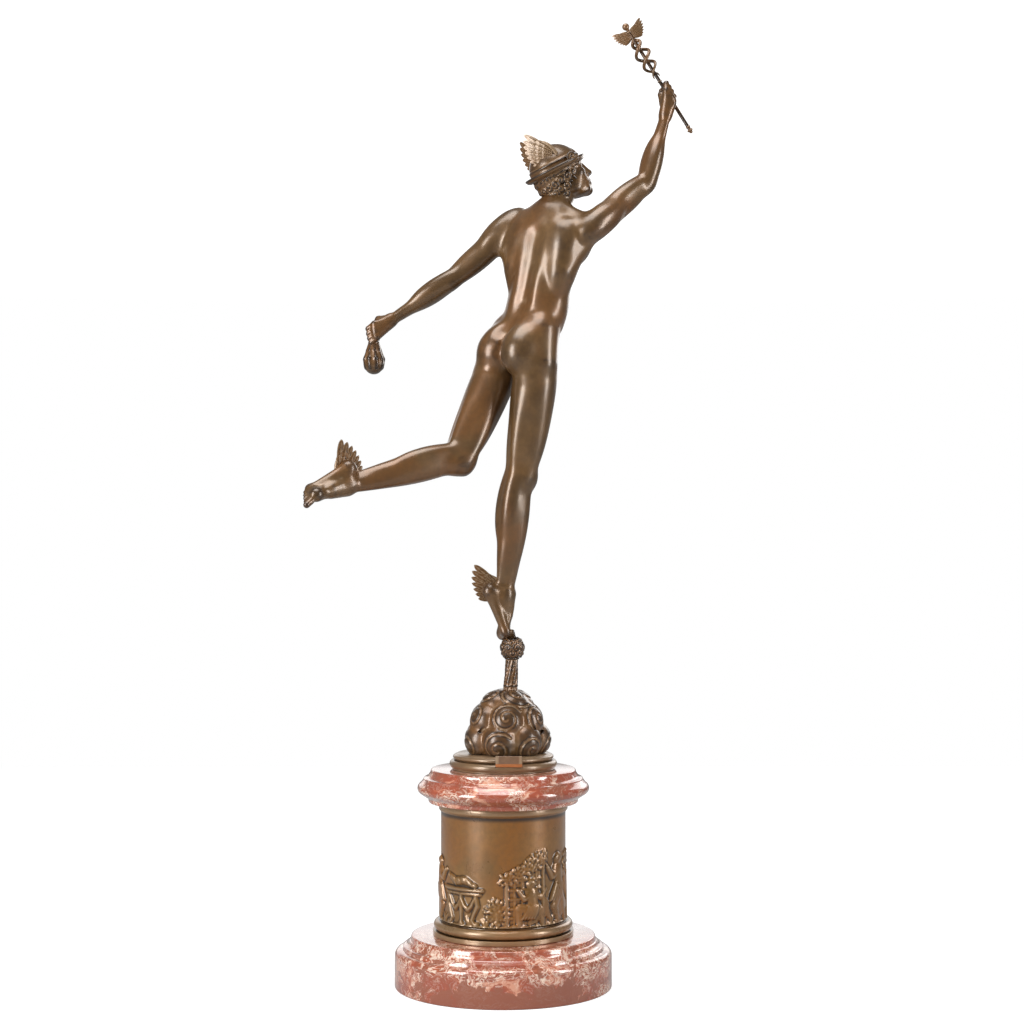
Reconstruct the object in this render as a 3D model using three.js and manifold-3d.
// A bronze statuette of the winged messenger of Roman myth, running with a short herald's staff raised, on a
// pedestal of turned red marble and a bronze drum with a low relief. Millimetres, +Z up, origin at the middle
// of the underside, +X the way the runner goes, the runner's back and right side towards -Y.
import * as THREE from "three";
import { mergeVertices } from "three/addons/utils/BufferGeometryUtils.js";
import Module from "manifold-3d";

const wasm = await Module();
wasm.setup();

// Driving dimensions: the pedestal, from the floor up.
const seat = 0.3; // clearance between two pieces that rest on each other
const baseRadius = 95.8;
const baseSideHeight = 29;
const baseHeight = 46;
const baseShoulder = 14.8; // how far the base's top edge stands back from its side
const drumRadius = 55;
const drumHeight = 116;
const drumFootOverhang = 7;
const drumFootHeight = 14;
const drumRimOverhang = 1.8;
const drumRimHeight = 7.5;
const collarRadius = 75.8;
const collarHeight = 29;
const collarTopSetback = 11.8;
const collarUndercut = 9.8;
const plinthRadius = 47.5;
const plinthHeight = 13.5;
const plinthTopSetback = 6.5;
const tagWidth = 23;
const tagThickness = 4.2;
const tagHeight = 9.5;
const tagOffset = 5; // the tag's middle, to the right of the pedestal's axis
const reliefLift = 2.4; // how far the relief stands out of the drum
const tallestFigure = 60; // in the drum's relief
const turnedSides = 28;
const skinTolerance = 0.36; // how far the modelled skins may shift where faces are saved

// Driving dimensions: the cloud that the runner steps on, and the runner.
const cloudHeight = 56;
const cloudRadius = 40;
const stemHeight = 28;
const stemRadius = 6.2;
const tuftHeight = 17;
const tuftRadius = 12;
const figureHeight = 444; // the runner's height if he stood straight
const staffRadius = 1.7;
const staffAbove = 72.6; // from the middle of the fist to the knob
const staffBelow = 38;
const knobRadius = 3.4;
const snakeRadius = 1.5;
const gripClearance = 0.35;

const cm = figureHeight / 180; // a centimetre of a man 180 cm tall, at the runner's scale
const deg = Math.PI / 180;

const drumBottom = baseHeight + seat;
const collarBottom = drumBottom + drumHeight + seat;
const plinthBottom = collarBottom + collarHeight + seat;
const cloudBottom = plinthBottom + plinthHeight + seat;
const stemLean = 5; // how far the foot stands in front of the mound's middle
const cloudAxis = new THREE.Vector3(3, 0, cloudBottom);
const treadHeight = cloudBottom + cloudHeight + stemHeight + tuftHeight;
const tread = new THREE.Vector3(cloudAxis.x + stemLean, 0, treadHeight);

// Solids

function solidOf(geometry) {
  const bare = geometry.index ? geometry.toNonIndexed() : geometry.clone();
  bare.deleteAttribute("normal");
  bare.deleteAttribute("uv");
  const merged = mergeVertices(bare, 1e-4);
  return new wasm.Manifold(
    new wasm.Mesh({
      numProp: 3,
      vertProperties: merged.attributes.position.array,
      triVerts: new Uint32Array(merged.index.array),
    }),
  );
}

function geometryOf(solid) {
  const mesh = solid.getMesh();
  const position = new Float32Array(mesh.numVert * 3);
  for (let i = 0; i < mesh.numVert; i += 1)
    position.set(mesh.vertProperties.subarray(i * mesh.numProp, i * mesh.numProp + 3), i * 3);
  const geometry = new THREE.BufferGeometry();
  geometry.setAttribute("position", new THREE.BufferAttribute(position, 3));
  geometry.setIndex(new THREE.BufferAttribute(new Uint32Array(mesh.triVerts), 1));
  geometry.computeVertexNormals();
  return geometry;
}

// The solids as one body. A smaller body beside it is only a rounding crumb of the joins.
function joined(solids) {
  const whole = solids.reduce((sum, next) => sum.add(next));
  return whole.decompose().reduce((largest, body) => (body.volume() > largest.volume() ? body : largest));
}

const sliver = 1e-3; // a face of a smaller area has no direction that can be trusted
const leastAgreement = 0.6; // between a face's directions before and after a corner of it has moved

function facePlane(a, b, c) {
  const normal = b.clone().sub(a).cross(c.clone().sub(a));
  const area = normal.length() / 2;
  normal.normalize();
  return { normal, area, offset: normal.dot(a) };
}

// One round of drawing edges together, shortest shift first, each into the spot that shifts the skin least.
function drawTogether(corners, faces, tolerance) {
  const around = corners.map(() => []);
  faces.forEach((face, i) => face.forEach((corner) => around[corner].push(i)));
  const planes = faces.map((face) => facePlane(...face.map((corner) => corners[corner])));
  const shiftAt = (spot, near) =>
    Math.max(...near.map((plane) => Math.abs(plane.normal.dot(spot) - plane.offset)));
  const choices = [];
  for (const face of faces) {
    face.forEach((a, i) => {
      const b = face[(i + 1) % 3];
      if (a > b) return;
      const near = [...around[a], ...around[b]].map((f) => planes[f]).filter((plane) => plane.area > sliver);
      const spots = [corners[a], corners[b], corners[a].clone().lerp(corners[b], 0.5)];
      const shifts = spots.map((spot) => shiftAt(spot, near));
      const least = Math.min(...shifts);
      const rank = least + 0.01 * corners[a].distanceTo(corners[b]);
      if (least < tolerance) choices.push({ a, b, spot: spots[shifts.indexOf(least)], rank });
    });
  }
  choices.sort((one, other) => one.rank - other.rank);
  const fixed = new Set();
  const gone = new Set();
  for (const { a, b, spot } of choices) {
    const nearA = new Set(around[a].flatMap((f) => faces[f]));
    const nearB = new Set(around[b].flatMap((f) => faces[f]));
    const shared = [...nearA].filter((corner) => nearB.has(corner));
    if (shared.length !== 4 || [...nearA, ...nearB].some((corner) => fixed.has(corner))) continue;
    const faceAB = new Set([...around[a], ...around[b]]);
    const lost = [...faceAB].filter((f) => faces[f].includes(a) && faces[f].includes(b));
    const flips = [...faceAB].some((f) => {
      if (lost.includes(f) || planes[f].area < sliver) return false;
      const moved = faces[f].map((corner) => (corner === a || corner === b ? spot : corners[corner]));
      return facePlane(...moved).normal.dot(planes[f].normal) < leastAgreement;
    });
    if (flips) continue;
    corners[a] = spot.clone();
    for (const f of around[b]) faces[f] = faces[f].map((corner) => (corner === b ? a : corner));
    for (const f of lost) gone.add(f);
    for (const corner of [...nearA, ...nearB]) fixed.add(corner);
  }
  return faces.filter((_, f) => !gone.has(f));
}

// The same solid with fewer faces, its skin shifted by little more than a tolerance.
function simplified(solid, tolerance) {
  const mesh = solid.getMesh();
  const corners = Array.from({ length: mesh.numVert }, (_, i) =>
    new THREE.Vector3().fromArray(mesh.vertProperties, i * mesh.numProp),
  );
  let faces = Array.from({ length: mesh.numTri }, (_, i) => [...mesh.triVerts.subarray(3 * i, 3 * i + 3)]);
  for (let count = Infinity; faces.length < count; ) {
    count = faces.length;
    faces = drawTogether(corners, faces, tolerance);
  }
  const geometry = new THREE.BufferGeometry();
  const flat = corners.flatMap((corner) => [corner.x, corner.y, corner.z]);
  geometry.setAttribute("position", new THREE.Float32BufferAttribute(flat, 3));
  geometry.setIndex(faces.flat());
  return solidOf(geometry);
}

// Turned pieces: a lathe profile of [radius, height] pairs, standing on z = 0

function arc(centreRadius, centreHeight, radius, fromDegrees, toDegrees, steps) {
  return Array.from({ length: steps + 1 }, (_, i) => {
    const angle = (fromDegrees + ((toDegrees - fromDegrees) * i) / steps) * deg;
    return [centreRadius + radius * Math.cos(angle), centreHeight + radius * Math.sin(angle)];
  });
}

function turned(profile, sides = turnedSides) {
  const outline = [[0, 0], ...profile, [0, profile[profile.length - 1][1]]];
  const lathe = new THREE.LatheGeometry(outline.map(([r, z]) => new THREE.Vector2(r, z)), sides);
  lathe.rotateX(Math.PI / 2);
  return lathe;
}

function marbleBase() {
  const ledge = baseHeight - baseSideHeight;
  const topRadius = baseRadius - baseShoulder;
  const stepRadius = baseRadius - baseShoulder * 0.5;
  const edge = baseShoulder * 0.36;
  return turned([
    [baseRadius - 0.8, 0],
    [baseRadius, 0.8],
    ...arc(baseRadius - edge, baseSideHeight - 1, edge, 0, 90, 3),
    [stepRadius, baseSideHeight + ledge * 0.3],
    [stepRadius - 0.6, baseSideHeight + ledge * 0.42],
    [topRadius + 2.2, baseSideHeight + ledge * 0.66],
    [topRadius, baseHeight - ledge * 0.24],
    [topRadius, baseHeight],
  ]);
}

function marbleCollar() {
  const widest = collarHeight * 0.4;
  const step = collarHeight * 0.68;
  const topRadius = collarRadius - collarTopSetback;
  return turned([
    [collarRadius - collarUndercut, 0],
    [collarRadius - 2.6, widest * 0.34],
    [collarRadius, widest],
    [collarRadius - 1.6, widest + 3.6],
    [collarRadius - collarTopSetback * 0.42, step],
    [topRadius + 2.2, step + 3.4],
    [topRadius, collarHeight - 3.4],
    [topRadius, collarHeight],
  ]);
}

function plinthBody() {
  const torus = plinthHeight * 0.27;
  const topRadius = plinthRadius - plinthTopSetback;
  return turned([
    [plinthRadius - torus * 0.6, 0],
    ...arc(plinthRadius - torus, torus + 0.8, torus, -50, 60, 2),
    [topRadius + 2.6, plinthHeight * 0.62],
    [topRadius + 2.2, plinthHeight - 2.4],
    [topRadius, plinthHeight],
  ]);
}

// The tag stands in a notch of the plinth's front edge; grown is the clearance that the notch has all round.
function tagBlock(grown = 0) {
  const block = new THREE.BoxGeometry(tagWidth + 2 * grown, tagThickness + 2 * grown, tagHeight + 2 * grown);
  return block.translate(tagOffset, tagThickness / 2 - plinthRadius, plinthHeight + 2 - tagHeight / 2);
}

function bronzePlinth() {
  return geometryOf(joined([solidOf(plinthBody()).subtract(solidOf(tagBlock(seat)))]));
}

function drumBody() {
  const torus = drumFootHeight * 0.32;
  const footRadius = drumRadius + drumFootOverhang;
  return turned([
    [footRadius, 0],
    [footRadius, drumFootHeight * 0.3],
    ...arc(footRadius - torus - 0.6, drumFootHeight * 0.3 + torus, torus, -60, 70, 2),
    [drumRadius, drumFootHeight],
    [drumRadius, drumHeight - drumRimHeight],
    [drumRadius + drumRimOverhang, drumHeight - drumRimHeight * 0.7],
    [drumRadius + drumRimOverhang, drumHeight],
  ]);
}

// Relief on the drum: rounded lumps, each half sunk in the wall. A lump lies along the wall from one point to
// another. A point is its distance from the front, measured along the wall towards +X, and its height.

function onDrum(across, height, out = 0) {
  const angle = across / drumRadius;
  const r = drumRadius + out;
  return new THREE.Vector3(r * Math.sin(angle), -r * Math.cos(angle), height);
}

function lump(from, to, thick, lift = reliefLift) {
  const a = onDrum(...from);
  const b = onDrum(...to);
  const middle = onDrum((from[0] + to[0]) / 2, (from[1] + to[1]) / 2, -0.4);
  const outward = onDrum((from[0] + to[0]) / 2, 0, 1).setZ(0).normalize();
  const along = b.clone().sub(a);
  const half = along.length() / 2 + thick;
  if (along.length() < 1e-3) along.set(0, 0, 1);
  along.addScaledVector(outward, -along.dot(outward)).normalize();
  const across = along.clone().cross(outward);
  const place = new THREE.Matrix4().makeBasis(
    across.multiplyScalar(thick),
    along.multiplyScalar(half),
    outward.multiplyScalar(lift),
  );
  place.setPosition(middle);
  return new THREE.SphereGeometry(1, 5, 3).applyMatrix4(place);
}

// A small figure that dances or sits: head, trunk, two arms and two legs, facing to one side.
function smallFigure(across, foot, height, facing, seated = false) {
  const spot = (x, z) => [across + facing * x * height, foot + z * height];
  const hip = seated ? 0.3 : 0.5;
  const shoulder = hip + 0.3;
  const knee = seated ? [0.25, hip] : [0.12, 0.26];
  const toe = seated ? [0.28, 0.02] : [0.04, 0.02];
  return [
    lump(spot(0.05, shoulder + 0.13), spot(0.05, shoulder + 0.15), height * 0.085),
    lump(spot(0, hip), spot(0.03, shoulder), height * 0.12, reliefLift * 1.2),
    lump(spot(0.04, shoulder - 0.04), spot(0.28, shoulder + 0.03), height * 0.052),
    lump(spot(-0.02, shoulder - 0.04), spot(-0.24, shoulder - 0.1), height * 0.052),
    lump(spot(0, hip), spot(...knee), height * 0.1),
    lump(spot(...knee), spot(...toe), height * 0.06),
    lump(spot(-0.02, hip), spot(-0.17, 0.04), height * 0.085),
  ];
}

// A low altar with a folded cloth on its top.
function altar(across, foot, halfWidth, tall) {
  const spot = (side, up) => [across + side * halfWidth, foot + up * tall];
  const leg = 0.07 * tall;
  return [
    ...[-0.78, 0, 0.78].map((side) => lump(spot(side, 0), spot(side, 0.9), leg)),
    lump(spot(-1, 1), spot(1, 1), 1.1 * leg),
    lump(spot(-0.7, 1.36), spot(0.6, 1.2), 1.5 * leg),
  ];
}

const goldenTurn = 137.5 * deg;

function bush(across, foot, reach) {
  return Array.from({ length: 6 }, (_, i) => {
    const out = (reach * Math.sqrt(i + 0.4)) / 2.6;
    const x = across + out * Math.cos(i * goldenTurn) * 0.8;
    const z = foot + reach + out * Math.sin(i * goldenTurn);
    return lump([x, z], [x, z], reach * 0.38, reliefLift * 1.15);
  });
}

// Two posts with a growth of leaves along the slanting top between them.
function trellis(left, foot, width, lowPost, highPost) {
  const right = left + width;
  const post = 0.045 * width;
  const leaf = 0.1 * width;
  const leaves = Array.from({ length: 5 }, (_, i) => {
    const x = left + (width * i) / 4;
    const z = foot + lowPost + ((highPost - lowPost) * i) / 4;
    return lump([x - 0.7 * leaf, z], [x + 0.7 * leaf, z + 0.4 * leaf], leaf, reliefLift * 1.1);
  });
  return [
    lump([left, foot], [left, foot + lowPost], post),
    lump([right, foot], [right, foot + highPost], post),
    ...leaves,
  ];
}

// The relief's motifs, each at its angle round the drum, its sizes shares of the tallest figure's height.
function drumRelief() {
  const foot = drumFootHeight + 0.6;
  const round = (degrees) => degrees * deg * drumRadius;
  const tall = tallestFigure;
  const trellisSizes = [0.57 * tall, 0.7 * tall, 0.97 * tall];
  const altarSizes = [0.32 * tall, 0.5 * tall];
  return [
    ...trellis(round(3), foot, ...trellisSizes),
    ...smallFigure(round(28), foot, 0.82 * tall, -1, true),
    ...bush(round(-5), foot, 0.22 * tall),
    ...smallFigure(round(60), foot, tall, -1),
    ...bush(round(77), foot + 0.72 * tall, 0.15 * tall),
    lump([round(81), foot], [round(78), foot + 0.73 * tall], 0.03 * tall),
    ...altar(round(-41), foot, ...altarSizes),
    ...smallFigure(round(-78), foot, 0.92 * tall, 1),
    ...bush(round(-100), foot, 0.15 * tall),
    ...altar(round(-127), foot, ...altarSizes),
    ...smallFigure(round(-156), foot, 0.97 * tall, 1),
    ...bush(round(171), foot, 0.2 * tall),
    ...smallFigure(round(144), foot, 0.87 * tall, 1, true),
    ...trellis(round(102), foot, ...trellisSizes),
  ];
}

function reliefDrum() {
  return geometryOf(simplified(joined([drumBody(), ...drumRelief()].map(solidOf)), skinTolerance));
}

// The runner's skeleton, in centimetres of a man 180 cm tall, from the ball of his right foot

function polar(azimuth, elevation) {
  const a = azimuth * deg;
  const e = elevation * deg;
  return new THREE.Vector3(Math.cos(e) * Math.cos(a), Math.cos(e) * Math.sin(a), Math.sin(e));
}

const from = (point, direction, length) => point.clone().addScaledVector(direction, length);

// A right-handed frame: front, side (the runner's right) and up.
function bodyFrame(origin, up, facing) {
  const u = up.clone().normalize();
  const front = facing.clone().addScaledVector(u, -facing.dot(u)).normalize();
  return { origin, up: u, front, side: front.clone().cross(u) };
}

const at = (frame, side, front, up) =>
  from(from(from(frame.origin, frame.side, side), frame.front, front), frame.up, up);

const thighLength = 45;
const shinLength = 43;
const upperArmLength = 31;
const forearmLength = 26;
const handReach = 7.5; // wrist to the middle of the fist
const hipHalfWidth = 9;
const ballToAnkle = 15.5;

const ball = new THREE.Vector3(0, 0, 0);
const ankleR = from(ball, polar(195, 80), ballToAnkle);
const kneeR = from(ankleR, polar(-30, 81), shinLength);
const hipR = from(kneeR, polar(-28, 80.5), thighLength);
const pelvisLevel = bodyFrame(hipR, new THREE.Vector3(0.14, 0.06, 1), polar(40, 0));
const pelvis = { ...pelvisLevel, origin: from(hipR, pelvisLevel.side, -hipHalfWidth) };
const hipL = at(pelvis, -hipHalfWidth, -0.5, -0.8);
const kneeL = from(hipL, polar(222, -60), thighLength);
const ankleL = from(kneeL, polar(203, -12), shinLength);

const thoraxCentre = from(pelvis.origin, new THREE.Vector3(0.24, 0.03, 0.97), 33);
const neckRoot = from(thoraxCentre, new THREE.Vector3(0.2, 0.05, 0.98), 19.5);
const chest = bodyFrame(thoraxCentre, neckRoot.clone().sub(thoraxCentre), polar(52, 0));
const waistCentre = from(pelvis.origin.clone().lerp(thoraxCentre, 0.52), pelvis.front, 0.8);
const waist = bodyFrame(waistCentre, thoraxCentre.clone().sub(pelvis.origin), polar(46, 0));
const headCentre = from(neckRoot, new THREE.Vector3(0.12, 0.02, 0.99), 13);
const head = bodyFrame(headCentre, polar(194, 63), polar(14, 27));

const shoulderR = at(chest, 16, 1.5, 14.5);
const elbowR = from(shoulderR, polar(35, 36), upperArmLength);
const wristR = from(elbowR, polar(30, 72), forearmLength);
const fistR = from(wristR, polar(50, 76), handReach);
const shoulderL = at(chest, -17, -1.5, 12.5);
const elbowL = from(shoulderL, polar(186, -42), upperArmLength);
const wristL = from(elbowL, polar(176, -33), forearmLength);
const fistL = from(wristL, polar(172, -38), handReach);
const staffDirection = polar(181, 58);
const purseGrip = polar(180, 80);

// A limb bone: where it starts, which way it runs, its front (flexor or knee side) and its outer side.
function bone(start, end, frontHint, side) {
  const along = end.clone().sub(start);
  const length = along.length();
  along.normalize();
  const front = frontHint.clone().addScaledVector(along, -frontHint.dot(along)).normalize();
  const outer = along.clone().cross(front).multiplyScalar(side);
  return { start, end, along, length, front, outer };
}

const legFacing = polar(22, 0);
const thighR = bone(hipR, kneeR, legFacing, 1);
const shinR = bone(kneeR, ankleR, legFacing, 1);
const thighL = bone(hipL, kneeL, kneeL.clone().sub(ankleL), -1);
const shinL = bone(kneeL, ankleL, kneeL.clone().sub(hipL), -1);
const upperArmR = bone(shoulderR, elbowR, wristR.clone().sub(elbowR), 1);
const forearmR = bone(elbowR, wristR, shoulderR.clone().sub(elbowR), 1);
const upperArmL = bone(shoulderL, elbowL, new THREE.Vector3(0.3, 0.5, 0.8), -1);
const forearmL = bone(elbowL, wristL, new THREE.Vector3(0.3, 0.3, 0.9), -1);

// Flesh: each muscle is a rounded lump of a smooth implicit surface. Distances are in the same centimetres.

function ovalLump(centre, axes, radii) {
  const offset = new THREE.Vector3();
  return (p) => {
    offset.subVectors(p, centre);
    const shares = axes.map((axis, i) => offset.dot(axis) / radii[i]);
    const k0 = Math.hypot(...shares);
    const k1 = Math.hypot(...shares.map((share, i) => share / radii[i]));
    return k1 < 1e-9 ? -Math.min(...radii) : (k0 * (k0 - 1)) / k1;
  };
}

function strand(a, b, radiusA, radiusB) {
  const ab = b.clone().sub(a);
  const offset = new THREE.Vector3();
  return (p) => {
    offset.subVectors(p, a);
    const t = THREE.MathUtils.clamp(offset.dot(ab) / ab.lengthSq(), 0, 1);
    return offset.addScaledVector(ab, -t).length() - (radiusA + (radiusB - radiusA) * t);
  };
}

const blended = (lumps, softness) => (p) =>
  -softness * Math.log(lumps.reduce((sum, f) => sum + Math.exp(-f(p) / softness), 0));

// Two fields as one, rounded where their surfaces lie closer together than a width.
const melted = (one, other, width) => (p) => {
  const a = one(p);
  const b = other(p);
  const overlap = Math.max(width - Math.abs(a - b), 0) / width;
  return Math.min(a, b) - (overlap * overlap * width) / 4;
};

const hollowed = (field, hollow) => (p) => Math.max(field(p), -hollow(p));

// Rows: from and to as shares of the bone, offsets to the front and the outer side, half depth, half width.
const thighMuscles = [
  [-0.16, 0.7, -0.4, 0.4, 7.4, 7.2], // upper mass round the bone
  [0.3, 1.08, -0.2, 0, 5.1, 5.0], // lower mass
  [0.0, 0.92, 3.4, 0.5, 3.9, 3.7], // straight muscle of the front
  [0.1, 0.97, 1.3, 3.3, 4.3, 3.5], // outer muscle of the front
  [0.45, 1.03, 2.0, -2.9, 3.3, 3.0], // inner muscle of the front
  [-0.1, 0.62, -0.8, -3.0, 5.4, 4.6], // inner mass
  [0.02, 0.98, -3.5, 1.9, 3.5, 3.0], // outer muscle of the back
  [0.02, 1.0, -3.4, -1.8, 3.4, 2.9], // inner muscles of the back
  [0.94, 1.08, 3.5, 0, 1.8, 2.4], // kneecap
];
const shinMuscles = [
  [-0.13, 0.14, 0.2, 0, 4.8, 4.9], // knee
  [-0.05, 0.7, -0.3, 0, 3.9, 4.0], // upper mass
  [0.35, 1.06, 0.1, 0, 2.7, 2.6], // lower mass
  [0.02, 0.98, 1.6, -0.7, 2.0, 1.7], // shin bone
  [0.06, 0.7, 1.4, 1.5, 2.4, 2.1], // muscle beside the shin bone
  [-0.04, 0.54, -3.5, -2.0, 3.6, 3.1], // inner calf
  [-0.04, 0.48, -3.2, 2.0, 3.4, 2.9], // outer calf
  [0.16, 0.8, -2.3, 0, 2.9, 3.3], // flat calf muscle
  [0.55, 1.1, -2.6, 0, 1.2, 1.1], // tendon of the heel
  [0.93, 1.05, 0.1, -2.3, 1.6, 1.1], // inner ankle
  [0.95, 1.08, -0.4, 2.3, 1.6, 1.1], // outer ankle
];
const upperArmMuscles = [
  [-0.1, 1.05, 0, 0, 3.4, 3.3], // mass round the bone
  [-0.22, 0.48, 0, 1.6, 4.9, 4.5], // shoulder muscle
  [0.2, 1.0, 1.8, 0, 3.0, 3.0], // biceps
  [0.06, 0.94, -1.9, -0.5, 3.1, 3.2], // triceps
  [0.9, 1.08, -1.4, 0, 1.8, 1.9], // elbow
];
const forearmMuscles = [
  [-0.12, 0.64, 0, 0, 3.2, 3.6], // upper mass
  [-0.16, 0.54, 0.7, 1.6, 2.5, 2.5], // outer muscles
  [0.0, 0.62, 0.6, -1.4, 2.5, 2.5], // inner muscles
  [0.4, 1.12, 0, 0, 1.9, 2.6], // lower mass and wrist
];

function limbFlesh(bone, rows) {
  return rows.map(([a, b, front, outer, deep, wide]) => {
    const middle = from(bone.start, bone.along, ((a + b) / 2) * bone.length);
    const centre = from(from(middle, bone.front, front), bone.outer, outer);
    const half = ((b - a) / 2) * bone.length;
    return ovalLump(centre, [bone.along, bone.front, bone.outer], [half, deep, wide]);
  });
}

// Rows: side, front and up of the centre, then half width, depth and height. A row off the middle is doubled.
const buttock = [6.7, -6.3, -1.6, 7.1, 7.6, 8.3];
const pelvisMasses = [
  buttock,
  [0, -0.5, 5, 12.2, 7.8, 9.5], // bowl of the pelvis
  [0, 2.8, 5, 9.8, 5.4, 8.5], // lower belly
  [9.8, -1.2, 4.4, 4.8, 5.8, 8], // hip, above the joint
  [9.0, 1.6, 10.0, 3.2, 4.4, 4.0], // crest of the hip bone
  [0, 7.6, -4.6, 2.4, 2.6, 3.4], // loins
];
const waistMasses = [
  [0, 0, 0, 11.0, 7.6, 13], // waist
  [3.4, 4.2, 0, 3.8, 3.2, 13], // straight belly muscle
  [7.4, 0.6, -1, 4.2, 5.8, 10], // flank
  [3.6, -4.2, 0, 3.5, 3.2, 14], // long muscles of the back
];
const chestMasses = [
  [0, 0, 0, 12.2, 8.5, 15.5], // rib cage
  [0, -0.6, 10, 12.4, 7.0, 8], // shoulder girdle
  [0, -3.6, 15.5, 7.5, 4.6, 6.5], // root of the neck
  [6.8, 4.2, 6.8, 7.4, 4.1, 6.2], // breast muscle
  [8.2, -4.8, 7.0, 6.0, 3.5, 7.8], // shoulder blade
  [9.8, -2.2, -1, 3.9, 5.2, 11], // broad muscle of the back
  [3.4, -5.2, -2, 3.3, 3.0, 14], // long muscles of the back
  [3.6, 4.6, -8, 3.9, 3.2, 9], // top of the belly muscle
];
const headMasses = [
  [0, -1.2, 2.8, 7.4, 9.2, 8], // skull
  [0, 3.6, 3.2, 6.0, 5.0, 4.6], // forehead
  [0, 3.3, -3, 5.7, 5.2, 7.4], // face
  [0, 4.5, -6.8, 3.3, 4.1, 2.9], // muzzle
  [0, 2.6, -7.2, 4.6, 4.6, 3.0], // jaw
  [4.5, 1.2, -6.2, 1.6, 2.8, 2.3], // corner of the jaw
  [2.9, 4.0, -8.9, 1.7, 2.8, 1.3], // edge of the jaw
  [0, 6.4, -9.9, 1.9, 2.1, 1.5], // chin
  [4.0, 4.9, -2.6, 2, 2.2, 1.7], // cheek
];
const eyeSockets = [[3.2, 8.9, -0.3, 1.95, 1.7, 1.15]];
const features = [
  [2.9, 7.3, 1.4, 2.4, 0.9, 0.7], // brow
  [0, 8.4, -1, 0.9, 1.2, 3], // bridge of the nose
  [0, 9.4, -4.1, 1.3, 1.4, 1.0], // tip of the nose
  [0, 8.0, -7.1, 2.2, 1.1, 1.2], // lips
];

function frameFlesh(frame, rows) {
  return rows.flatMap(([side, front, up, wide, deep, tall]) =>
    (side === 0 ? [0] : [side, -side]).map((s) =>
      ovalLump(at(frame, s, front, up), [frame.side, frame.front, frame.up], [wide, deep, tall]),
    ),
  );
}

// Muscles that run from the trunk to an arm or a leg.
function armRoots(arm, s) {
  const onArm = from(arm.start, arm.along, arm.length * 0.2);
  return [
    strand(at(chest, s * 8, 4.4, 8), onArm, 3.6, 2.3),
    strand(at(chest, s * 10.2, -3.2, -3), onArm, 3.8, 2.3),
    strand(at(chest, s * 9.4, -4.0, 5), onArm, 3.8, 2.5),
    strand(at(chest, s * 2.6, -2.4, 19), arm.start, 3.0, 3.3),
    strand(at(chest, s * 8.6, -3.8, 10), arm.start, 3.8, 3.5),
  ];
}

function legRoots(leg, s) {
  const onBack = from(from(leg.start, leg.along, leg.length * 0.2), leg.front, -3.2);
  const onSide = from(from(leg.start, leg.along, leg.length * 0.08), leg.outer, 3.4);
  return [
    strand(at(pelvis, s * 5.6, -5.4, 3), from(onBack, leg.outer, 2), 5.6, 4.2),
    strand(at(pelvis, s * 10.4, -0.6, 7), onSide, 3.8, 4.6),
  ];
}

const neckFlesh = [
  strand(at(chest, 0, -1.5, 14), from(headCentre, head.up, -3.5), 5.3, 5.0),
  strand(at(chest, 1.5, 4, 17.2), at(head, 5, -2.6, -4.6), 1.0, 1.3),
  strand(at(chest, -1.5, 4, 17.2), at(head, -5, -2.6, -4.6), 1.0, 1.3),
];

const trunkFlesh = [
  ...frameFlesh(pelvis, pelvisMasses),
  ...frameFlesh(waist, waistMasses),
  ...frameFlesh(chest, chestMasses),
  ...armRoots(upperArmR, 1),
  ...armRoots(upperArmL, -1),
  ...legRoots(thighR, 1),
  ...legRoots(thighL, -1),
];
const trunkSoftness = 1.2;
const limbSoftness = 0.9;
const limbJoin = 2.4; // how widely a limb melts into the trunk

// A limb is two bones, each with its flesh and with the rings, sides and reach of the skin over it.
const leg = (thigh, shin) => [
  { bone: thigh, flesh: limbFlesh(thigh, thighMuscles), rings: 11, sides: 13, reach: 14 },
  { bone: shin, flesh: limbFlesh(shin, shinMuscles), rings: 11, sides: 12, reach: 10 },
];
const arm = (upper, lower) => [
  { bone: upper, flesh: limbFlesh(upper, upperArmMuscles), rings: 8, sides: 10, reach: 9 },
  { bone: lower, flesh: limbFlesh(lower, forearmMuscles), rings: 7, sides: 10, reach: 7 },
];
const limbs = [leg(thighR, shinR), leg(thighL, shinL), arm(upperArmR, forearmR), arm(upperArmL, forearmL)];
const limbField = (limb) => blended(limb.flatMap(({ flesh }) => flesh), limbSoftness);
const bodyField = limbs.reduce(
  (body, limb) => melted(body, limbField(limb), limbJoin),
  blended([...trunkFlesh, ...neckFlesh], trunkSoftness),
);

// How far it is from a point inside a field to its surface, along a ray, and no more than a given reach.
function cast(field, start, direction, reach) {
  const step = 0.5;
  let near = 0;
  while (near < reach && field(from(start, direction, near + step)) < 0) near += step;
  let far = near + step;
  for (let i = 0; i < 10; i += 1) {
    const half = (near + far) / 2;
    if (field(from(start, direction, half)) < 0) near = half;
    else far = half;
  }
  return Math.max(near, 0.05);
}

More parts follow.
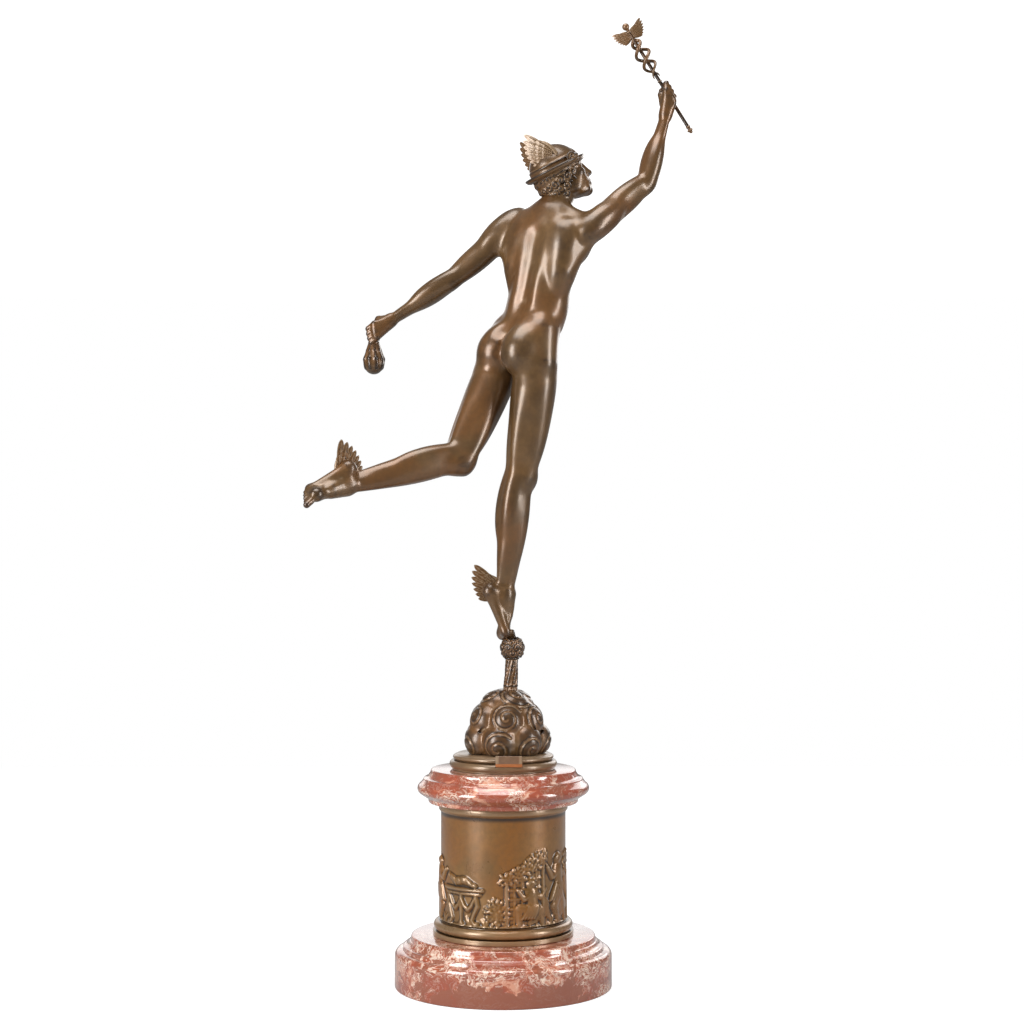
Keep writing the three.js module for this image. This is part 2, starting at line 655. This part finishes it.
// A closed skin over a long form: rings of rays cast square to a path, and a tip at each end.
function skin(field, pathPoints, sideHint, rings, sides, reach) {
  const ends = [pathPoints[0], pathPoints[pathPoints.length - 1]];
  const outward = [
    ends[0].clone().sub(pathPoints[1]).normalize(),
    ends[1].clone().sub(pathPoints[pathPoints.length - 2]).normalize(),
  ];
  const tips = ends.map((end, i) => from(end, outward[i], cast(field, end, outward[i], reach) * 0.995));
  const path = new THREE.CatmullRomCurve3([tips[0], ...pathPoints, tips[1]], false, "centripetal");
  const vertices = [tips[0]];
  for (let i = 1; i <= rings; i += 1) {
    const even = i / (rings + 1);
    const t = even - 0.09 * Math.sin(2 * Math.PI * even);
    const centre = path.getPointAt(t);
    const along = path.getTangentAt(t);
    const right = sideHint.clone().addScaledVector(along, -sideHint.dot(along)).normalize();
    const ahead = along.clone().cross(right);
    for (let j = 0; j < sides; j += 1) {
      const angle = (2 * Math.PI * j) / sides;
      const ray = right.clone().multiplyScalar(Math.cos(angle)).addScaledVector(ahead, Math.sin(angle));
      vertices.push(from(centre, ray, cast(field, centre, ray, reach)));
    }
  }
  vertices.push(tips[1]);
  const last = vertices.length - 1;
  const ring = (i, j) => 1 + i * sides + (j % sides);
  const faces = [];
  for (let j = 0; j < sides; j += 1) {
    faces.push(0, ring(0, j + 1), ring(0, j));
    for (let i = 0; i < rings - 1; i += 1) {
      faces.push(ring(i, j), ring(i, j + 1), ring(i + 1, j));
      faces.push(ring(i, j + 1), ring(i + 1, j + 1), ring(i + 1, j));
    }
    faces.push(last, ring(rings - 1, j), ring(rings - 1, j + 1));
  }
  const geometry = new THREE.BufferGeometry();
  const flat = vertices.flatMap((v) => [v.x, v.y, v.z]);
  geometry.setAttribute("position", new THREE.Float32BufferAttribute(flat, 3));
  geometry.setIndex(faces);
  return geometry;
}

// A closed skin over a rounded form: rays cast every way from one point inside it.
function roundSkin(field, centre, detail, reach) {
  const geometry = new THREE.IcosahedronGeometry(1, detail);
  const position = geometry.attributes.position;
  const ray = new THREE.Vector3();
  for (let i = 0; i < position.count; i += 1) {
    ray.fromBufferAttribute(position, i).normalize();
    const spot = from(centre, ray, cast(field, centre, ray, reach));
    position.setXYZ(i, spot.x, spot.y, spot.z);
  }
  return geometry;
}

function limbSkin({ bone, flesh, rings, sides, reach }) {
  const inset = 0.06;
  const path = [inset, 0.5, 1 - inset].map((t) => from(bone.start, bone.along, t * bone.length));
  return skin(blended(flesh, limbSoftness), path, bone.front, rings, sides, reach);
}

function trunkSkin() {
  const path = [at(pelvis, 0, -0.5, -2), waist.origin, at(chest, 0, 0, 2), at(chest, 0, -1, 17)];
  return skin(blended(trunkFlesh, trunkSoftness), path, pelvis.side, 18, 20, 22);
}

function neckSkin() {
  const path = [at(chest, 0, -1, 14), from(headCentre, head.up, -3)];
  return skin(blended(neckFlesh, limbSoftness), path, head.side, 4, 10, 9);
}

// The head: a skull and jaw with hollow eye sockets, then brow, nose and lips.
function headSkin() {
  const path = [at(head, 0, 0.5, -6), at(head, 0, -1, 6)];
  const sockets = blended(frameFlesh(head, eyeSockets), 0.3);
  const skull = hollowed(blended(frameFlesh(head, headMasses), 0.5), sockets);
  const face = melted(skull, blended(frameFlesh(head, features), 0.35), 0.8);
  return skin(face, path, head.front, 16, 20, 14);
}

// The corners of a solid, drawn onto the surface of a field that lies close to it.
function settled(solid, field, furthest) {
  const geometry = geometryOf(solid);
  const position = geometry.attributes.position;
  const probe = 0.02;
  const axes = [new THREE.Vector3(1, 0, 0), new THREE.Vector3(0, 1, 0), new THREE.Vector3(0, 0, 1)];
  for (let i = 0; i < position.count; i += 1) {
    const start = new THREE.Vector3().fromBufferAttribute(position, i);
    const spot = start.clone();
    for (let round = 0; round < 4; round += 1) {
      const value = field(spot);
      const rises = axes.map((axis) => field(from(spot, axis, probe)) - value);
      const slope = new THREE.Vector3(...rises).divideScalar(probe);
      spot.addScaledVector(slope, -value / Math.max(slope.lengthSq(), 0.25));
    }
    const move = spot.sub(start).clampLength(0, furthest);
    start.add(move);
    position.setXYZ(i, start.x, start.y, start.z);
  }
  return geometry;
}

// Trunk, neck and limbs, joined and drawn onto their common surface, so that hips and shoulders flow.
function bodySkin() {
  const buttocks = [1, -1].map((s) => {
    const [side, front, up, ...radii] = buttock;
    const centre = at(pelvis, s * side, front, up);
    return roundSkin(ovalLump(centre, [pelvis.side, pelvis.front, pelvis.up], radii), centre, 2, 12);
  });
  const rough = joined([trunkSkin(), neckSkin(), ...limbs.flat().map(limbSkin), ...buttocks].map(solidOf));
  return settled(rough, bodyField, 3);
}

// Hair: locks curled out from under the brim, from one temple round the nape to the other.
function hair() {
  const locks = 9;
  return Array.from({ length: locks }, (_, i) => {
    const turn = (-1 + (2 * i) / (locks - 1)) * 118 * deg;
    const across = 7.6 * Math.sin(turn);
    const back = -1 - 8.6 * Math.cos(turn);
    const centre = at(head, across, back, 0.4 - 1.6 * Math.cos(turn) - (i % 2));
    const lock = new THREE.SphereGeometry(1, 6, 4);
    const place = new THREE.Matrix4().makeBasis(
      head.side.clone().multiplyScalar(1.9),
      head.front.clone().multiplyScalar(1.9),
      head.up.clone().multiplyScalar(2.4),
    );
    place.setPosition(centre);
    return lock.applyMatrix4(place);
  });
}

// Feet: a foot frame has its origin at the ankle, its up away from the sole, and its front towards the toes.
function footPieces(frame, outerSign, toeBend, grown = 0) {
  const place = (outer, front, up) => at(frame, outerSign * outer, front, up);
  const flesh = blended(
    [
      strand(place(0, 0, 1), place(-0.6, 6, -2.6), 3.1 + grown, 2.6 + grown),
      strand(place(-0.4, 4, -2.2), place(-1.6, 13, -5.9), 2.7 + grown, 1.7 + grown),
      strand(place(0.4, -3, -4.6), place(2.6, 11, -6.4), 2.3 + grown, 1.4 + grown),
      strand(place(0, 0, -1), place(0, -4.2, -4.4), 3 + grown, 2.9 + grown),
      strand(place(-1.8, 13, -6.3), place(2.6, 11.6, -6.6), 1.7 + grown, 1.4 + grown),
    ],
    0.6,
  );
  const path = [place(0, -3, -4), place(0, 3, -3.6), place(0.2, 11.5, -6)];
  const toes = [-2.4, -0.8, 0.5, 1.7, 2.8].map((outer, i) => {
    const start = 13 - i * 0.7;
    const length = 4.6 - i * 0.45;
    const root = place(outer, start, -6.3);
    const tip = place(outer * 1.05, start + length * Math.cos(toeBend), -6.6 + length * Math.sin(toeBend));
    const radius = (i ? 0.85 : 1.25) + grown;
    return skin(strand(root, tip, radius, radius * 0.87), [root, tip], frame.side, 2, 6, 3);
  });
  return [skin(flesh, path, frame.side, 8, 10, 8), ...toes];
}

const footR = bodyFrame(ankleR, polar(22, 26), polar(22, -64));
const footL = bodyFrame(ankleL, polar(32, -52), polar(212, -38));
const treadBend = 0.9; // the toes of the foot that bears him, bent up to lie on the tuft
const trailBend = 0.1;

// A fist closed round a rod: the palm, four fingers bent round the rod and the thumb across them.
function fistPieces(wrist, middle, rod, palmHint) {
  const along = middle.clone().sub(wrist).normalize();
  const across = rod.clone().addScaledVector(along, -rod.dot(along)).normalize();
  const palm = along.clone().cross(across);
  if (palm.dot(palmHint) < 0) palm.negate();
  const hand = (a, b, c) => from(from(from(middle, along, a), rod, b), palm, c);
  const back = blended(
    [
      strand(hand(-7, 0, -0.6), hand(-1.5, 1.6, -1.9), 2.2, 1.9),
      strand(hand(-7, 0, -0.6), hand(-1.2, -1.8, -1.9), 2.2, 1.8),
    ],
    0.8,
  );
  const pieces = [skin(back, [hand(-6.5, 0, -0.8), hand(-1.5, 0, -1.9)], rod, 4, 9, 6)];
  for (let i = 0; i < 4; i += 1) {
    const b = 2.9 - i * 1.75;
    const knuckles = [hand(-1.2, b, -2), hand(1.6, b, -1.4), hand(2, b, 0.8), hand(-0.4, b, 1.9)];
    const bent = blended([0, 1, 2].map((j) => strand(knuckles[j], knuckles[j + 1], 1.05, 0.98)), 0.2);
    pieces.push(skin(bent, knuckles, rod, 5, 5, 3));
  }
  const thumb = [hand(-4.2, 3, 0.2), hand(-1.6, 3.9, 1.3), hand(0.6, 2.6, 2.5)];
  const thumbBones = [strand(thumb[0], thumb[1], 1.3, 1.1), strand(thumb[1], thumb[2], 1.1, 0.9)];
  pieces.push(skin(blended(thumbBones, 0.3), thumb, rod, 4, 5, 4));
  return pieces;
}

// A small wing: a plate of long feathers with scalloped tips, and a thicker, shorter one of covert feathers.
const wingLength = 34;
const wingWidth = 16;
const wingThickness = 2.2;
const covertFeathers = 3;

function featherPlate(length, width, feathers, thickness) {
  const outline = new THREE.Shape();
  outline.moveTo(-length * 0.04, -width * 0.16);
  outline.bezierCurveTo(length * 0.05, width * 0.5, length * 0.5, width * 0.72, length, width * 0.5);
  for (let i = 1; i <= feathers; i += 1) {
    const share = i / feathers;
    const tipX = length * (1 - 0.86 * share);
    const tipY = width * (0.5 - 1.06 * Math.sin(share * 1.75));
    outline.quadraticCurveTo(tipX + length * 0.12, tipY - width * 0.1, tipX, tipY);
    if (i < feathers) outline.lineTo(tipX - length * 0.01, tipY + width * 0.16);
  }
  const settings = { depth: thickness, bevelEnabled: false, curveSegments: 2 };
  return new THREE.ExtrudeGeometry(outline, settings).translate(0, 0, -thickness / 2);
}

function wingAt(root, lengthwise, leading, scale = 1, feathers = 6) {
  const x = lengthwise.clone().normalize();
  const y = leading.clone().addScaledVector(x, -leading.dot(x)).normalize();
  const place = new THREE.Matrix4().makeBasis(x, y, x.clone().cross(y));
  place.setPosition(root);
  const length = wingLength * scale;
  const width = wingWidth * scale;
  const thickness = wingThickness * Math.sqrt(scale);
  return [
    featherPlate(length, width, feathers, thickness),
    featherPlate(0.62 * length, 0.7 * width, covertFeathers, 1.7 * thickness),
  ].map((plate) => plate.applyMatrix4(place));
}

// The hat: a round crown with a turned-up brim, its profile in centimetres like the head's.
function hat() {
  const profile = [
    [0, 1.5],
    [7.6, 1.5],
    [9.8, 0.8],
    [11.6, 1.8],
    [11.6, 2.6],
    [9.5, 2.4],
    [8.6, 5.2],
    [6.2, 9.4],
    [0, 12],
  ];
  const crown = new THREE.LatheGeometry(profile.map(([r, z]) => new THREE.Vector2(r, z)), 18);
  crown.rotateX(Math.PI / 2);
  const place = new THREE.Matrix4().makeBasis(head.side, head.front, head.up);
  place.setPosition(at(head, 0, -1.2, 0.4));
  return crown.applyMatrix4(place);
}

const purseLength = 15;

function purse() {
  const profile = [
    [0, -1],
    [2.4, -0.94],
    [3.9, -0.74],
    [3.4, -0.46],
    [1.4, -0.2],
    [1.2, 0],
    [2.1, 0.12],
    [0, 0.16],
  ];
  const bag = new THREE.LatheGeometry(profile.map(([r, z]) => new THREE.Vector2(r, z * purseLength)), 10);
  bag.rotateX(Math.PI / 2);
  return bag.translate(fistL.x, fistL.y, fistL.z);
}

// Life-size centimetres from the ball of the foot, to millimetres in the part's frame.
const inPlace = (point) => point.clone().multiplyScalar(cm).add(tread);
const placed = (geometry) => geometry.clone().scale(cm, cm, cm).translate(tread.x, tread.y, tread.z);

function runner() {
  const skins = [
    bodySkin(),
    headSkin(),
    ...footPieces(footR, 1, treadBend),
    ...footPieces(footL, -1, trailBend),
    ...fistPieces(wristR, fistR, staffDirection, polar(150, 20)),
    ...fistPieces(wristL, fistL, purseGrip, polar(60, -30)),
    ...hair(),
    hat(),
    purse(),
  ].map(placed);
  const wings = [
    wingAt(inPlace(at(head, 7, -2, 6)), polar(178, 22), head.up, 0.95),
    wingAt(inPlace(at(head, -7, -2, 6)), polar(150, 22), head.up, 0.95),
    wingAt(inPlace(from(ankleR, polar(202, 0), 1.6)), polar(195, 35), polar(15, 55)),
    wingAt(inPlace(from(ankleL, polar(203, 80), 1.6)), polar(60, 80), polar(203, 10)),
  ].flat();
  const whole = simplified(joined([...skins, ...wings].map(solidOf)), skinTolerance);
  return geometryOf(whole.subtract(solidOf(staffRod(staffRadius + gripClearance))));
}

// The staff, its knob, its two snakes and its wings

function alongStaff(geometry) {
  const turn = new THREE.Quaternion().setFromUnitVectors(new THREE.Vector3(0, 0, 1), staffDirection);
  const hold = inPlace(fistR);
  return geometry.applyQuaternion(turn).translate(hold.x, hold.y, hold.z);
}

function staffRod(radius) {
  const rod = new THREE.CylinderGeometry(radius, radius, staffAbove + staffBelow, 8);
  rod.rotateX(Math.PI / 2);
  return alongStaff(rod.translate(0, 0, (staffAbove - staffBelow) / 2));
}

const snakeSwing = 5.2;
const snakeTurns = 1.5;
const snakeStart = staffAbove * 0.27;
const snakeEnd = staffAbove * 0.78;
const wingsAboveSnakes = 6;

function snake(phase) {
  const steps = 18;
  const sides = 4;
  const points = Array.from({ length: steps + 1 }, (_, i) => {
    const t = i / steps;
    const angle = phase + t * snakeTurns * 2 * Math.PI;
    const swing = snakeSwing * Math.sin(Math.PI * t) ** 0.7 * (0.4 + 0.6 * t);
    const reach = staffRadius + snakeRadius * 0.6 + swing;
    const height = snakeStart + (snakeEnd - snakeStart) * t;
    return new THREE.Vector3(reach * Math.cos(angle), reach * Math.sin(angle), height);
  });
  const section = new THREE.Shape(
    Array.from({ length: sides }, (_, i) => {
      const a = (2 * Math.PI * (i + 0.5)) / sides;
      return new THREE.Vector2(snakeRadius * Math.cos(a), snakeRadius * Math.sin(a));
    }),
  );
  const body = new THREE.ExtrudeGeometry(section, { steps, extrudePath: new THREE.CatmullRomCurve3(points) });
  return alongStaff(body);
}

function staff() {
  const knob = alongStaff(new THREE.SphereGeometry(knobRadius, 8, 6).translate(0, 0, staffAbove));
  const top = from(inPlace(fistR), staffDirection, snakeEnd + wingsAboveSnakes);
  const outward = staffDirection.clone().cross(new THREE.Vector3(0, 1, 0)).normalize();
  const wings = [1, -1].flatMap((s) => {
    const lengthwise = outward.clone().multiplyScalar(s).addScaledVector(staffDirection, 0.35);
    return wingAt(top, lengthwise, staffDirection, 0.5, 4);
  });
  const whole = joined([staffRod(staffRadius), knob, snake(0), snake(Math.PI), ...wings].map(solidOf));
  return geometryOf(simplified(whole, skinTolerance / 2));
}

// The cloud: billows heaped into a mound, a twisted stem, and a curly tuft, hollowed to the foot on it.
// Its own axis stands at x = 0, y = 0.

function ringOf(count, radius, height, twist = 0) {
  return Array.from({ length: count }, (_, i) => {
    const angle = (2 * Math.PI * (i + twist)) / count;
    return new THREE.Vector3(radius * Math.cos(angle), radius * Math.sin(angle), height);
  });
}

function mound() {
  const billow = cloudRadius * 0.42;
  const core = new THREE.Vector3(0, 0, cloudHeight * 0.35);
  const heap = [
    ...ringOf(7, cloudRadius - billow, billow * 0.7),
    ...ringOf(6, (cloudRadius - billow) * 0.8, cloudHeight * 0.5, 0.5),
    ...ringOf(4, (cloudRadius - billow) * 0.38, cloudHeight - billow, 0.3),
  ].map((centre) => strand(centre, centre.clone().setZ(centre.z + 1), billow, billow * 0.95));
  heap.push(strand(core, core.clone().setZ(cloudHeight - billow), cloudRadius * 0.6, billow));
  return roundSkin(blended(heap, 1.2), core, 5, 2 * cloudHeight);
}

function cloud() {
  const axis = new THREE.Vector3(1, 0, 0);
  const top = cloudHeight + stemHeight + tuftHeight;
  const stemFoot = new THREE.Vector3(stemLean * 0.6, 0, cloudHeight - 8);
  const stemTop = new THREE.Vector3(stemLean, 0, top - tuftHeight * 0.6);
  const flutes = ringOf(5, stemRadius * 0.5, 0);
  const ridges = flutes.map((off, i) => {
    const low = stemFoot.clone().add(off);
    const high = stemTop.clone().add(flutes[(i + 1) % flutes.length]);
    return strand(low, high, stemRadius * 0.62, stemRadius * 0.5);
  });
  const stem = skin(blended(ridges, 0.5), [stemFoot, stemTop], axis, 5, 15, 20);
  const tuftMiddle = new THREE.Vector3(stemLean, 0, top - tuftHeight * 0.5);
  const curl = tuftRadius * 0.48;
  const curls = [
    ...ringOf(6, tuftRadius - curl, -tuftHeight * 0.2),
    ...ringOf(6, tuftRadius - curl, tuftHeight * 0.2, 0.5),
  ].map((off) => {
    const centre = tuftMiddle.clone().add(off);
    return strand(centre, centre.clone().setZ(centre.z + 1), curl, curl);
  });
  const tuft = roundSkin(blended(curls, 0.7), tuftMiddle, 4, 3 * tuftRadius);
  const below = new THREE.BoxGeometry(4 * cloudRadius, 4 * cloudRadius, cloudHeight);
  below.translate(0, 0, -cloudHeight / 2);
  const foot = footPieces(footR, 1, treadBend, seat / cm)
    .map(placed)
    .map((geometry) => geometry.translate(-cloudAxis.x, -cloudAxis.y, -cloudAxis.z));
  const whole = simplified(joined([mound(), stem, tuft].map(solidOf)), skinTolerance);
  return geometryOf([below, ...foot].map(solidOf).reduce((rest, cutter) => rest.subtract(cutter), whole));
}

// The part

const bronze = { color: 0x6f5335, roughness: 0.38, metalness: 0.9 };
const drumBronze = { color: 0x85683c, roughness: 0.42, metalness: 0.9 };
const marble = { color: 0xa5544a, roughness: 0.2, metalness: 0 };

function piece(name, geometry, look, height = 0, x = 0, y = 0) {
  const mesh = new THREE.Mesh(geometry, new THREE.MeshStandardMaterial(look));
  mesh.name = name;
  mesh.position.set(x, y, height);
  return mesh;
}

const statuette = new THREE.Group();
statuette.add(
  piece("marble_base", marbleBase(), marble),
  piece("relief_drum", reliefDrum(), drumBronze, drumBottom),
  piece("marble_collar", marbleCollar(), marble, collarBottom),
  piece("bronze_plinth", bronzePlinth(), bronze, plinthBottom),
  piece("blank_tag", tagBlock(), bronze, plinthBottom),
  piece("cloud_mound", cloud(), bronze, cloudAxis.z, cloudAxis.x, cloudAxis.y),
  piece("runner", runner(), bronze),
  piece("herald_staff", staff(), bronze),
);

export default statuette;
